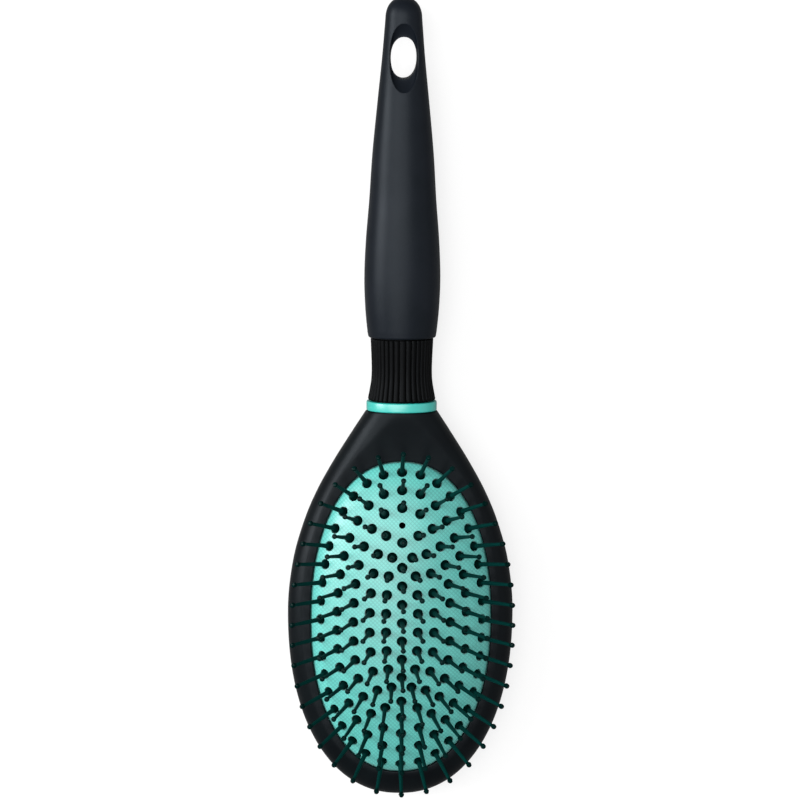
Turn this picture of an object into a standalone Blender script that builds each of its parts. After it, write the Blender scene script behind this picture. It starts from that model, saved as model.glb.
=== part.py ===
# Oval cushion brush, lying on its back with the pins up.
# X runs across the brush, Y towards the handle's end and Z up, out of the cushion.
# The origin is the middle of the flat land on the head's back. Sizes are in millimetres
# and become metres when a mesh is finished.

import math

import bmesh
import bpy
from mathutils import Vector
from mathutils.geometry import delaunay_2d_cdt

MM = 0.001
FIT = 0.3              # clearance between pieces that touch on the real brush

# Head shell
HEAD_HALF_WIDTH = 34.15
HEAD_WIDEST_Y = 1.1
HEAD_ROUND_LENGTH = 56.6      # from the widest place to the round end
HEAD_ROUND_EXPONENT = 2.2
HEAD_END_Y = 62.3
# Places along the shoulder run from 0 at the widest place to 1 at the neck.
# Its width falls from 1, the full width, to 0, the neck's width.
HEAD_SHOULDER = [(0.0, 1.0), (0.252, 0.934), (0.453, 0.788), (0.603, 0.624), (0.753, 0.409), (0.904, 0.163),
                 (1.0, 0.0)]
HEAD_HALF_DEPTH = [(0.0, 10.6), (0.45, 10.2), (0.7, 9.3), (0.87, 8.4), (1.0, 8.2)]
HEAD_MIDDLE_Z = [(0.0, 8.9), (0.45, 8.9), (0.75, 9.2), (1.0, 9.7)]
HEAD_SECTION_EXPONENT = 2.5
FRONT_Z = 15.2                # the flat front face
FRONT_RISE = [(0.54, 0.0), (0.73, 0.5), (0.88, 1.7), (1.0, 2.9)]

# Cushion opening, groove and cavity in the head
OPENING_HALF_WIDTH = 27.0
OPENING_HALF_LENGTH = 47.3
OVAL_EXPONENT = 2.2
CAVITY_FLOOR_Z = 3.0
CAVITY_INSET = 0.7            # the seat ledge inside the opening's edge
GROOVE_DEPTH = 2.5
GROOVE_HEIGHT = 1.6
LIP_HEIGHT = 1.4

# Cushion
CROWN_HEIGHT = 10.6
CROWN_FULLNESS = 2.1
CROWN_EDGE_BULGE = 0.64       # under 1, so that the dome leaves its edge steeply
CUSHION_WALL = 1.6
CUSHION_EDGE_BELOW_FRONT = 0.3
FLANGE_INSET = 1.4
VENT_RADIUS = 1.0

# Pins: how many in each ring, from the outside in, and in the centre row
PIN_COUNTS = [40, 34, 28, 22, 18]
CENTRE_ROW = len(PIN_COUNTS)  # the centre row counts as one more ring
VENT_RING = 3                 # the ring whose place nearest the handle is the air vent
ROW_COUNT = 7
FIRST_RING_INSET = 2.6
LAST_RING_HALF_WIDTH = 4.8
LAST_RING_HALF_LENGTH = 24.2
ROW_END_SPACE = 3.05          # lengthwise, from the row's end pins to the last ring's pins beside them
PIN_LENGTH = 14.2
PIN_SIDES = 4
ROOT_RADIUS = 1.45
ROOT_HEIGHT = 0.35
STEM_FOOT_RADIUS = 0.75
STEM_TOP_RADIUS = 0.5
BALL_RADIUS = 0.85

# Pin mat under the cushion, in slices that each carry one ring; the last carries the flat middle
MAT_SLICES = {"pin_ring_outer": [0], "pin_ring_second": [1], "pin_ring_third": [2], "pin_ring_fourth": [3],
              "pin_field_centre": [4, CENTRE_ROW]}
MAT_THICKNESS = 1.2
MAT_GAP = 0.4                 # between neighbouring slices
MAT_RIM = 1.8                 # from the outermost pins to the mat's edge

# Tang, accent ring and ribbed sleeve
HANDLE_MIDDLE_Z = 9.75
HANDLE_EXPONENT = 2.2
TANG_HALF_WIDTH = 6.0
TANG_HALF_DEPTH = 4.6
TANG_IN_CORE = 16.0           # how far the tang reaches into the core's socket
RING_HALF_WIDTH = 10.6
RING_HALF_DEPTH = 8.5
RING_LENGTH = 2.85
RING_EDGE = 0.4
NECK_OVER_RING = 0.2          # the neck stands this much proud of the ring
SLEEVE_LENGTH = 18.7
SLEEVE_WAIST = [(0.0, 10.25), (0.17, 9.65), (0.33, 9.2), (0.54, 9.1), (1.0, 9.45)]
SLEEVE_DEPTH_RATIO = 0.83
RIB_COUNT = 36
RIB_DEPTH = 0.45

# Handle core and soft grip
GRIP_LENGTH = 101.9
GRIP_HALF_WIDTH = [(0.0, 10.25), (0.082, 11.08), (0.175, 11.44), (0.288, 11.01), (0.405, 10.08),
                   (0.543, 9.2), (0.7, 7.7), (0.827, 6.42), (0.94, 5.5)]
GRIP_DEPTH_RATIO = 0.84
GRIP_LIP_RADIUS = 1.5
GRIP_LIP_INSET = 0.8          # how far the lip's rounding draws in to the sleeve
GRIP_LIP_TURNS = (0, 45, 90)
GRIP_TIP_TURNS = (25, 45, 62, 77)
GRIP_TIP_ROUNDNESS = 0.8
CORE_LENGTH = 69.0
CORE_HALF_WIDTH = [(0.0, 8.3), (0.26, 8.5), (0.4, 7.4), (1.0, 4.8)]
CORE_DEPTH_RATIO = 0.85

# Hang hole in its dished recess
HOLE_FROM_END = 17.9
HOLE_HALF_WIDTH = 3.9
HOLE_HALF_LENGTH = 6.2
DISH_HALF_WIDTH = 4.3
DISH_HALF_LENGTH = 10.1
DISH_DEPTH = 2.0

# Places that follow from the sizes above
RING_SIDE_PITCH = (OPENING_HALF_WIDTH - FIRST_RING_INSET - LAST_RING_HALF_WIDTH) / (len(PIN_COUNTS) - 1)
RING_END_PITCH = (OPENING_HALF_LENGTH - FIRST_RING_INSET - LAST_RING_HALF_LENGTH) / (len(PIN_COUNTS) - 1)
EDGE_Z = FRONT_Z - CUSHION_EDGE_BELOW_FRONT
SHOULDER_LENGTH = HEAD_END_Y - HEAD_WIDEST_Y
NECK_HALF_WIDTH = RING_HALF_WIDTH + NECK_OVER_RING
RING_START = HEAD_END_Y + FIT
RING_END = RING_START + RING_LENGTH
SLEEVE_START = RING_END + FIT
GRIP_START = SLEEVE_START + SLEEVE_LENGTH + FIT
GRIP_END = GRIP_START + GRIP_LENGTH
CORE_START = GRIP_START + FIT
TANG_END = CORE_START + TANG_IN_CORE
HOLE_Y = GRIP_END - HOLE_FROM_END

# Fineness of the surfaces
HEAD_SEGMENTS = 28
HEAD_STATIONS = 11
FRONT_STATIONS = 6
SLEEVE_STATIONS = 6
GRIP_SEGMENTS = 28
GRIP_STATIONS = 14
CORE_SEGMENTS = 20
HOLE_SEGMENTS = 24
OVAL_SEGMENTS = 48
OVAL_SAMPLES = 1440
SMALL = 0.01                  # short beside every size of the brush
CLEAR = 60.0                  # far enough for a cutter to pass the head's sides

BLACK_SHELL = ("black_shell", (0.013, 0.014, 0.016), 0.32)
SOFT_BLACK = ("soft_black", (0.018, 0.019, 0.022), 0.55)
RIB_BLACK = ("rib_black", (0.010, 0.010, 0.012), 0.35)
CORE_GREY = ("core_grey", (0.10, 0.10, 0.11), 0.5)
MINT_GLOSS = ("mint_gloss", (0.23, 0.72, 0.62), 0.15)
MINT_RUBBER = ("mint_rubber", (0.27, 0.68, 0.58), 0.6)
PIN_BLACK = ("pin_black", (0.012, 0.030, 0.028), 0.25)


# Scene and finishing helpers

def clear_scene():
    for obj in list(bpy.data.objects):
        bpy.data.objects.remove(obj, do_unlink=True)


def make_collection(name):
    collection = bpy.data.collections.new(name)
    bpy.context.scene.collection.children.link(collection)
    return collection


def make_material(name, colour, roughness):
    material = bpy.data.materials.new(name)
    material.use_nodes = True
    shader = material.node_tree.nodes["Principled BSDF"]
    shader.inputs["Base Color"].default_value = (*colour, 1.0)
    shader.inputs["Roughness"].default_value = roughness
    shader.inputs["Metallic"].default_value = 0.0
    material.diffuse_color = (*colour, 1.0)
    return material


def finish(bm, name, collection, look=None):
    """Turn a closed bmesh in millimetres into an object in metres; without a look it is a cutter."""
    bmesh.ops.recalc_face_normals(bm, faces=bm.faces[:])
    bmesh.ops.scale(bm, vec=(MM, MM, MM), verts=bm.verts[:])
    mesh = bpy.data.meshes.new(name)
    bm.to_mesh(mesh)
    bm.free()
    mesh.shade_smooth()
    mesh.set_sharp_from_angle(angle=math.radians(35))
    obj = bpy.data.objects.new(name, mesh)
    collection.objects.link(obj)
    if look is None:
        obj.hide_render = True
        obj.display_type = "WIRE"
    else:
        mesh.materials.append(make_material(*look))
    return obj


def cut(obj, cutter):
    modifier = obj.modifiers.new(cutter.name, "BOOLEAN")
    modifier.operation = "DIFFERENCE"
    modifier.solver = "EXACT"
    modifier.object = cutter


# Curves and sections

def smooth(keys, share):
    """Value at a share of a piece's length, on a smooth curve through the (share, value) keys."""
    share = min(max(share, keys[0][0]), keys[-1][0])
    slopes = []
    for i in range(len(keys)):
        before = keys[max(i - 1, 0)]
        after = keys[min(i + 1, len(keys) - 1)]
        slopes.append((after[1] - before[1]) / (after[0] - before[0]))
    i = max(k for k in range(len(keys) - 1) if keys[k][0] <= share)
    (start, v0), (end, v1) = keys[i], keys[i + 1]
    span = end - start
    t = (share - start) / span
    return ((2 * t**3 - 3 * t**2 + 1) * v0 + (t**3 - 2 * t**2 + t) * span * slopes[i]
            + (3 * t**2 - 2 * t**3) * v1 + (t**3 - t**2) * span * slopes[i + 1])


def superellipse(half_a, half_b, angle, exponent):
    s, c = math.sin(angle), math.cos(angle)
    power = 2.0 / exponent
    return (half_a * math.copysign(abs(s) ** power, s), half_b * math.copysign(abs(c) ** power, c))


def quarter(share, exponent):
    """Half width left at a share of the way to a superellipse's end."""
    return (1 - share**exponent) ** (1 / exponent)


def oval(half_width, half_length, count=OVAL_SEGMENTS, centre_y=0.0):
    """Points of a plan oval, clockwise from its handle end and closest together at its ends."""
    points = []
    for k in range(count):
        x, y = superellipse(half_width, half_length, math.tau * k / count, OVAL_EXPONENT)
        points.append(Vector((x, y + centre_y)))
    return points


def evenly_spaced(half_width, half_length, count):
    """Places spread evenly round a plan oval, clockwise from its handle end."""
    fine = oval(half_width, half_length, OVAL_SAMPLES)
    fine.append(fine[0])
    travelled = [0.0]
    for a, b in zip(fine, fine[1:]):
        travelled.append(travelled[-1] + (b - a).length)
    places = []
    i = 0
    for k in range(count):
        wanted = travelled[-1] * k / count
        while travelled[i + 1] < wanted:
            i += 1
        share = (wanted - travelled[i]) / (travelled[i + 1] - travelled[i])
        places.append(fine[i].lerp(fine[i + 1], share))
    return places


def section(y, half_width, half_depth, middle_z, exponent, count):
    """A rounded cross-section of the brush at y."""
    points = []
    for k in range(count):
        x, z = superellipse(half_width, half_depth, math.tau * k / count, exponent)
        points.append(Vector((x, y, middle_z + z)))
    return points


def handle_section(y, half_width, half_depth, count):
    return section(y, half_width, half_depth, HANDLE_MIDDLE_Z, HANDLE_EXPONENT, count)


def solid_from(loops):
    """A closed solid: neighbouring loops bridged, a flat cap on each open end; one point is a pole."""
    bm = bmesh.new()
    rings = [[bm.verts.new(p) for p in loop] for loop in loops]
    for ring, following in zip(rings, rings[1:]):
        for k in range(max(len(ring), len(following))):
            n = k + 1
            corners = [ring[k % len(ring)], ring[n % len(ring)], following[n % len(following)],
                       following[k % len(following)]]
            bm.faces.new(list(dict.fromkeys(corners)))
    for ring in (rings[0], rings[-1]):
        if len(ring) > 1:
            bm.faces.new(ring)
    return bm


# Dome of the cushion

def crown(x, y):
    """Height of the dome above its edge; points of one height lie on one scaled copy of the edge."""
    across = abs(x) / OPENING_HALF_WIDTH
    along = abs(y) / OPENING_HALF_LENGTH
    share = (across**OVAL_EXPONENT + along**OVAL_EXPONENT) ** (1 / OVAL_EXPONENT)
    return CROWN_HEIGHT * (1 - min(share, 1.0) ** CROWN_FULLNESS) ** CROWN_EDGE_BULGE


def dome(x, y):
    """Point and outward normal on the cushion's outer surface."""
    step = 5 * SMALL
    slope_x = (crown(x + step, y) - crown(x - step, y)) / (2 * step)
    slope_y = (crown(x, y + step) - crown(x, y - step)) / (2 * step)
    return Vector((x, y, EDGE_Z + crown(x, y))), Vector((-slope_x, -slope_y, 1.0)).normalized()


def ring_half_width(ring):
    return OPENING_HALF_WIDTH - FIRST_RING_INSET - RING_SIDE_PITCH * ring


def ring_half_length(ring):
    return OPENING_HALF_LENGTH - FIRST_RING_INSET - RING_END_PITCH * ring


def pin_places(ring):
    """Plan points of the pins in a ring or in the centre row."""
    if ring == CENTRE_ROW:
        half_length = pin_places(CENTRE_ROW - 1)[1].y - ROW_END_SPACE
        return [Vector((0.0, half_length * (2 * k / (ROW_COUNT - 1) - 1))) for k in range(ROW_COUNT)]
    places = evenly_spaced(ring_half_width(ring), ring_half_length(ring), PIN_COUNTS[ring])
    return places[1:] if ring == VENT_RING else places


def vent_place():
    return Vector((0.0, ring_half_length(VENT_RING)))


class Seat:
    """The axis of one pin: its foot on the dome, and a frame square to the dome."""

    def __init__(self, place, radius):
        self.foot, self.axis = dome(place.x, place.y)
        outward = Vector((self.axis.x, self.axis.y, 0.0))
        if outward.length < SMALL:
            outward = Vector((1.0, 0.0, 0.0))
        self.across = self.axis.cross(outward).normalized()
        self.out = self.across.cross(self.axis)
        self.radius = radius

    def loop(self, height, radius=None):
        """Corners of the pin's polygon at a height along its axis, with a circle's area."""
        side_angle = math.tau / PIN_SIDES
        reach = (radius or self.radius) * math.sqrt(side_angle / math.sin(side_angle))
        corners = []
        for k in range(PIN_SIDES):
            angle = side_angle * (k + 0.5)
            arm = self.out * math.cos(angle) + self.across * math.sin(angle)
            corners.append(self.foot + self.axis * height + arm * reach)
        return corners


class Skin:
    """An open surface at a depth under the dome, with a hole round each seat, as points and triangles."""

    def __init__(self, depth, outlines, seats, drop=0.0):
        self.points = []
        self.loops = []
        for outline in outlines:
            lowered = []
            for place in outline:
                point, normal = dome(place.x, place.y)
                lowered.append(point - normal * depth)
            self.add_loop(lowered)
        for seat in seats:
            self.add_loop(seat.loop(-depth))
        edges = [(loop[k - 1], loop[k]) for loop in self.loops for k in range(len(loop))]
        flat = [point.xy for point in self.points]
        triangles = delaunay_2d_cdt(flat, edges, [], 0, SMALL**3)[2]
        holes = [set(loop) for loop in self.loops[1:]]
        self.triangles = [t for t in triangles if not any(hole.issuperset(t) for hole in holes)]
        self.drop = Vector((0.0, 0.0, drop))

    def add_loop(self, points):
        start = len(self.points)
        self.points += points
        self.loops.append(list(range(start, len(self.points))))

    def build(self, bm):
        verts = [bm.verts.new(point - self.drop) for point in self.points]
        for triangle in self.triangles:
            bm.faces.new([verts[i] for i in triangle])
        return [[verts[i] for i in loop] for loop in self.loops]


def wall_between(bm, upper, lower):
    for k in range(len(upper)):
        bm.faces.new((upper[k - 1], upper[k], lower[k], lower[k - 1]))


# Head

def make_head(parts, cutters):
    """The head: a flared pebble of sections that runs on into the tang."""
    middle_z = HEAD_MIDDLE_Z[0][1]
    loops = [[Vector((0.0, HEAD_WIDEST_Y - HEAD_ROUND_LENGTH, middle_z))]]
    for k in range(1, HEAD_STATIONS):
        share = math.cos(math.pi / 2 * k / HEAD_STATIONS)
        width = HEAD_HALF_WIDTH * quarter(share, HEAD_ROUND_EXPONENT)
        depth = HEAD_HALF_DEPTH[0][1] * quarter(share, HEAD_SECTION_EXPONENT)
        loops.append(section(HEAD_WIDEST_Y - HEAD_ROUND_LENGTH * share, width, depth, middle_z,
                             HEAD_SECTION_EXPONENT, HEAD_SEGMENTS))
    for k in range(HEAD_STATIONS + 1):
        share = k / HEAD_STATIONS
        width = NECK_HALF_WIDTH + (HEAD_HALF_WIDTH - NECK_HALF_WIDTH) * smooth(HEAD_SHOULDER, share)
        loops.append(section(HEAD_WIDEST_Y + SHOULDER_LENGTH * share, width, smooth(HEAD_HALF_DEPTH, share),
                             smooth(HEAD_MIDDLE_Z, share), HEAD_SECTION_EXPONENT, HEAD_SEGMENTS))
    for y in (HEAD_END_Y, TANG_END):
        loops.append(handle_section(y, TANG_HALF_WIDTH, TANG_HALF_DEPTH, HEAD_SEGMENTS))
    head = finish(solid_from(loops), "head_shell", parts, BLACK_SHELL)
    cut(head, front_cutter(cutters))
    cut(head, back_cutter(cutters))
    cut(head, recess_cutter(cutters))


def front_cutter(cutters):
    """Everything in front of the face line, which rises to the neck and so leaves the arched crease."""
    line = [(-CLEAR, FRONT_Z)]
    first = FRONT_RISE[0][0]
    for k in range(FRONT_STATIONS + 1):
        share = first + (1 - first) * k / FRONT_STATIONS
        line.append((HEAD_WIDEST_Y + SHOULDER_LENGTH * share, FRONT_Z + smooth(FRONT_RISE, share)))
    line += [(HEAD_END_Y + FIT, CLEAR), (-CLEAR, CLEAR)]
    loops = [[Vector((x, y, z)) for y, z in line] for x in (-CLEAR, CLEAR)]
    return finish(solid_from(loops), "front_trim", cutters)


def back_cutter(cutters):
    """Trims the flat land that the head rests on."""
    bm = bmesh.new()
    bmesh.ops.create_cube(bm, size=2 * CLEAR)
    bmesh.ops.translate(bm, vec=(0.0, 0.0, -CLEAR), verts=bm.verts[:])
    return finish(bm, "back_trim", cutters)


def recess_cutter(cutters):
    """The cavity, the groove for the cushion's flange and the mouth, one above the other."""
    lip_z = FRONT_Z - LIP_HEIGHT
    ledge_z = lip_z - GROOVE_HEIGHT
    levels = [(CAVITY_FLOOR_Z, -CAVITY_INSET), (ledge_z, -CAVITY_INSET), (ledge_z, GROOVE_DEPTH),
              (lip_z, GROOVE_DEPTH), (lip_z, FIT), (CLEAR, FIT)]
    loops = []
    for z, grow in levels:
        plan = oval(OPENING_HALF_WIDTH + grow, OPENING_HALF_LENGTH + grow)
        loops.append([Vector((p.x, p.y, z)) for p in plan])
    return finish(solid_from(loops), "recess", cutters)


# Cushion and pins

def make_cushion(parts):
    """The rubber pad: a domed wall with a hole for each pin, and a flange that sits in the groove."""
    hole_radius = ROOT_RADIUS + FIT
    seats = [Seat(place, hole_radius) for ring in range(CENTRE_ROW + 1) for place in pin_places(ring)]
    seats.append(Seat(vent_place(), VENT_RADIUS))
    outline = oval(OPENING_HALF_WIDTH, OPENING_HALF_LENGTH)
    bm = bmesh.new()
    outer = Skin(0.0, [outline], seats).build(bm)
    inner = Skin(CUSHION_WALL, [outline], seats).build(bm)
    for upper, lower in zip(outer[1:], inner[1:]):
        wall_between(bm, upper, lower)

    flange_top = FRONT_Z - LIP_HEIGHT - FIT
    flange_bottom = FRONT_Z - LIP_HEIGHT - GROOVE_HEIGHT + FIT
    rim = GROOVE_DEPTH - FIT
    flange = [(flange_top, 0.0), (flange_top, rim), (flange_bottom, rim), (flange_bottom, -FLANGE_INSET)]
    previous = outer[0]
    for z, grow in flange:
        plan = oval(OPENING_HALF_WIDTH + grow, OPENING_HALF_LENGTH + grow)
        ring = [bm.verts.new((p.x, p.y, z)) for p in plan]
        wall_between(bm, previous, ring)
        previous = ring
    wall_between(bm, previous, inner[0])
    finish(bm, "cushion", parts, MINT_RUBBER)


def make_pins(name, rings, parts):
    """One slice of the pin mat with its pins, which stand square to the dome."""
    top_depth = CUSHION_WALL + FIT
    seats = [Seat(place, ROOT_RADIUS) for ring in rings for place in pin_places(ring)]
    side_reach = (RING_SIDE_PITCH - MAT_GAP) / 2
    end_reach = (RING_END_PITCH - MAT_GAP) / 2
    outer, inner = rings[0], rings[-1]
    if outer == 0:
        outlines = [oval(ring_half_width(outer) + MAT_RIM, ring_half_length(outer) + MAT_RIM)]
    else:
        outlines = [oval(ring_half_width(outer) + side_reach, ring_half_length(outer) + end_reach)]
    if inner != CENTRE_ROW:
        outlines.append(oval(ring_half_width(inner) - side_reach, ring_half_length(inner) - end_reach))
    vents = [Seat(vent_place(), VENT_RADIUS)] if VENT_RING in rings else []

    bm = bmesh.new()
    top = Skin(top_depth, outlines, vents + seats).build(bm)
    bottom = Skin(top_depth, outlines, vents, MAT_THICKNESS).build(bm)
    for upper, lower in zip(top, bottom):
        wall_between(bm, upper, lower)

    ball_foot = PIN_LENGTH - 2 * BALL_RADIUS
    ball_middle = PIN_LENGTH - BALL_RADIUS
    profile = [(ROOT_HEIGHT, ROOT_RADIUS), (ROOT_HEIGHT, STEM_FOOT_RADIUS), (ball_foot, STEM_TOP_RADIUS),
               (ball_middle, BALL_RADIUS), (PIN_LENGTH, STEM_TOP_RADIUS)]
    for seat, foot_ring in zip(seats, top[len(bottom):]):
        previous = foot_ring
        for height, radius in profile:
            ring_verts = [bm.verts.new(p) for p in seat.loop(height, radius)]
            wall_between(bm, previous, ring_verts)
            previous = ring_verts
        bm.faces.new(previous)
    finish(bm, name, parts, PIN_BLACK)


# Handle

def tang_cutter(cutters):
    """The space that the ring, the sleeve and the core leave for the head's tang."""
    loops = [handle_section(y, TANG_HALF_WIDTH + FIT, TANG_HALF_DEPTH + FIT, HEAD_SEGMENTS)
             for y in (HEAD_END_Y, TANG_END + FIT)]
    return finish(solid_from(loops), "tang_space", cutters)


def make_accent_ring(parts, tang_space):
    """The glossy ring on the tang, between the head and the ribbed sleeve."""
    loops = []
    for y, shrink in [(RING_START, RING_EDGE), (RING_START + RING_EDGE, 0.0), (RING_END - RING_EDGE, 0.0),
                      (RING_END, RING_EDGE)]:
        loops.append(handle_section(y, RING_HALF_WIDTH - shrink, RING_HALF_DEPTH - shrink, HEAD_SEGMENTS))
    ring = finish(solid_from(loops), "accent_ring", parts, MINT_GLOSS)
    cut(ring, tang_space)


def make_sleeve(parts, tang_space):
    """The waisted sleeve; every second point of a section is the bottom of a groove."""
    count = 2 * RIB_COUNT
    loops = []
    for k in range(SLEEVE_STATIONS + 1):
        share = k / SLEEVE_STATIONS
        y = SLEEVE_START + SLEEVE_LENGTH * share
        width = smooth(SLEEVE_WAIST, share)
        depth = width * SLEEVE_DEPTH_RATIO
        crests = handle_section(y, width, depth, count)
        grooves = handle_section(y, width - RIB_DEPTH, depth - RIB_DEPTH, count)
        loops.append([crests[i] if i % 2 == 0 else grooves[i] for i in range(count)])
    sleeve = finish(solid_from(loops), "ribbed_sleeve", parts, RIB_BLACK)
    cut(sleeve, tang_space)


def core_loops(start, grow):
    """Sections of the hard core, grown for the space that the grip leaves for it."""
    loops = []
    for share, width in CORE_HALF_WIDTH:
        y = start if share == 0.0 else CORE_START + CORE_LENGTH * share + grow
        loops.append(handle_section(y, width + grow, width * CORE_DEPTH_RATIO + grow, CORE_SEGMENTS))
    return loops


def make_core(parts, tang_space):
    """The hard core inside the grip, with the socket for the tang at its open end."""
    core = finish(solid_from(core_loops(CORE_START, 0.0)), "handle_core", parts, CORE_GREY)
    cut(core, tang_space)


def make_grip(parts, cutters):
    """The soft grip: a rounded lip over the sleeve, a long swelling body and a rounded end."""
    loops = []
    lip_width = GRIP_HALF_WIDTH[0][1]
    for turn in GRIP_LIP_TURNS:
        y = GRIP_START + GRIP_LIP_RADIUS * (1 - math.cos(math.radians(turn)))
        shrink = GRIP_LIP_INSET * (1 - math.sin(math.radians(turn)))
        depth = lip_width * GRIP_DEPTH_RATIO - shrink
        loops.append(handle_section(y, lip_width - shrink, depth, GRIP_SEGMENTS))

    stations = []
    lip_share = GRIP_LIP_RADIUS / GRIP_LENGTH
    end_share, end_width = GRIP_HALF_WIDTH[-1]
    for k in range(1, GRIP_STATIONS + 1):
        share = lip_share + (end_share - lip_share) * k / GRIP_STATIONS
        stations.append((share, smooth(GRIP_HALF_WIDTH, share)))
    for turn in GRIP_TIP_TURNS:
        share = end_share + (1 - end_share) * math.sin(math.radians(turn))
        stations.append((share, end_width * math.cos(math.radians(turn)) ** GRIP_TIP_ROUNDNESS))
    for share, width in stations:
        y = GRIP_START + GRIP_LENGTH * share
        loops.append(handle_section(y, width, width * GRIP_DEPTH_RATIO, GRIP_SEGMENTS))
    loops.append([Vector((0.0, GRIP_END, HANDLE_MIDDLE_Z))])

    grip = finish(solid_from(loops), "handle_grip", parts, SOFT_BLACK)
    core_space = finish(solid_from(core_loops(GRIP_START - FIT, FIT)), "core_space", cutters)
    cut(grip, core_space)
    cut(grip, hang_hole_cutter(cutters))


def grip_height(x, y):
    """Height of the grip's surface over the handle's middle."""
    half_width = smooth(GRIP_HALF_WIDTH, (y - GRIP_START) / GRIP_LENGTH)
    return half_width * GRIP_DEPTH_RATIO * quarter(abs(x) / half_width, HANDLE_EXPONENT)


def hang_hole_cutter(cutters):
    """The through hole in its two dishes, which slope down to it from an oval rim on the grip's surface."""
    rim = oval(DISH_HALF_WIDTH, DISH_HALF_LENGTH, HOLE_SEGMENTS, HOLE_Y)
    hole = oval(HOLE_HALF_WIDTH, HOLE_HALF_LENGTH, HOLE_SEGMENTS, HOLE_Y)
    top = [Vector((p.x, p.y, GRIP_HALF_WIDTH[0][1])) for p in rim]
    edge = [Vector((p.x, p.y, grip_height(p.x, p.y))) for p in rim]
    floor = [Vector((p.x, p.y, grip_height(p.x, p.y) - DISH_DEPTH)) for p in hole]
    loops = []
    for side, heights in [(-1, top), (-1, edge), (-1, floor), (1, floor), (1, edge), (1, top)]:
        loops.append([Vector((p.x, p.y, HANDLE_MIDDLE_Z + side * p.z)) for p in heights])
    return finish(solid_from(loops), "hang_hole", cutters)


def main():
    clear_scene()
    parts = make_collection("oval_cushion_brush")
    cutters = make_collection("cutters")
    make_head(parts, cutters)
    make_cushion(parts)
    for name, rings in MAT_SLICES.items():
        make_pins(name, rings, parts)
    tang_space = tang_cutter(cutters)
    make_accent_ring(parts, tang_space)
    make_sleeve(parts, tang_space)
    make_core(parts, tang_space)
    make_grip(parts, cutters)
    for obj in parts.objects:
        print(obj.name, "made")


main()
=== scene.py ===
# %% [markdown]
# # Oval cushion brush
# This script gives the brush its looks. The CAD frame holds the plain parts at their real size, and most of
# them are replaced here by finer surfaces of the same shape. X runs across the brush, Y towards the end of
# the handle and Z up, out of the cushion. The brush lies on its back. Shapes are written in millimetres and
# become metres when a piece is finished.

import math

import bmesh
import bpy
from mathutils import Matrix, Vector


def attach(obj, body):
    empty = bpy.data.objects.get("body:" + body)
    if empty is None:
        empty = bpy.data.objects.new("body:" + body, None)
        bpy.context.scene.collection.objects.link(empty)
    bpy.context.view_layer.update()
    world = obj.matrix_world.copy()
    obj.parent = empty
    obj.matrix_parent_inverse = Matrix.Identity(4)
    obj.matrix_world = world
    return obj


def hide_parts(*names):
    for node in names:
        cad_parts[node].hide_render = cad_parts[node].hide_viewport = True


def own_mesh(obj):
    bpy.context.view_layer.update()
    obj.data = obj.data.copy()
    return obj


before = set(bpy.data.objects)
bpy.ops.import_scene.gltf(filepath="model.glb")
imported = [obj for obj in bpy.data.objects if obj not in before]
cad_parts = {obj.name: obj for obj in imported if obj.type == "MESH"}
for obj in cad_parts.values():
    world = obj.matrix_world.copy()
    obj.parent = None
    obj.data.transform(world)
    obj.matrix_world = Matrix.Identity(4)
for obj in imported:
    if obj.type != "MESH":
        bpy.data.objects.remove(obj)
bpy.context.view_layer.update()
print("nodes", len(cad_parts))

# %% [markdown]
# ## Three small curves
# A moulded brush has no straight outlines. Its widths and depths are smooth curves through a few measured
# places, and its sections are superellipses: ovals that are a little squarer than an ellipse. These helpers
# are used for every piece below.

# %% Curves
MM = 0.001
UP = Vector((0.0, 0.0, 1.0))


def smooth(keys, share):
    """Value at a share of a length, on a smooth curve through the (share, value) keys."""
    share = min(max(share, keys[0][0]), keys[-1][0])
    slopes = []
    for i in range(len(keys)):
        before = keys[max(i - 1, 0)]
        after = keys[min(i + 1, len(keys) - 1)]
        slopes.append((after[1] - before[1]) / (after[0] - before[0]))
    i = max(k for k in range(len(keys) - 1) if keys[k][0] <= share)
    (start, low), (end, high) = keys[i], keys[i + 1]
    span = end - start
    t = (share - start) / span
    return ((2 * t**3 - 3 * t**2 + 1) * low + (t**3 - 2 * t**2 + t) * span * slopes[i]
            + (3 * t**2 - 2 * t**3) * high + (t**3 - t**2) * span * slopes[i + 1])


def superellipse(half_a, half_b, turn, exponent):
    """A point of an oval, clockwise from the end of its second axis; turn runs from 0 to 1."""
    s, c = math.sin(math.tau * turn), math.cos(math.tau * turn)
    power = 2.0 / exponent
    return (half_a * math.copysign(abs(s) ** power, s), half_b * math.copysign(abs(c) ** power, c))


def quarter(share, exponent):
    """What is left of a superellipse's half width at a share of the way to its end."""
    return (1 - min(share, 1.0) ** exponent) ** (1 / exponent)


def steps(start, end, count):
    """Evenly spread values from start to end, both included."""
    return [start + (end - start) * k / count for k in range(count + 1)]


# %% [markdown]
# ## A skin over lines
# Most pieces are made the same way: a flat grid of faces is made with Blender's own operator, and its
# corners are moved to the points of neighbouring lines. Where lines meet in one point or close into a ring,
# the doubled corners are merged, so that the piece is closed. Then its faces are turned outwards.

# %% Skin and finishing helpers
MERGE = 0.0001
SHARP_ANGLE = math.radians(35)


def skin(lines):
    """A closed surface over neighbouring lines with as many points each, in millimetres."""
    bm = bmesh.new()
    columns, rows = len(lines) - 1, len(lines[0]) - 1
    made = bmesh.ops.create_grid(bm, x_segments=columns, y_segments=rows, size=0.5)
    for vert in made["verts"]:
        column = round((vert.co.x + 0.5) * columns)
        row = round((vert.co.y + 0.5) * rows)
        vert.co = lines[column][row]
    bmesh.ops.remove_doubles(bm, verts=bm.verts[:], dist=MERGE)
    bmesh.ops.recalc_face_normals(bm, faces=bm.faces[:])
    return bm


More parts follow.
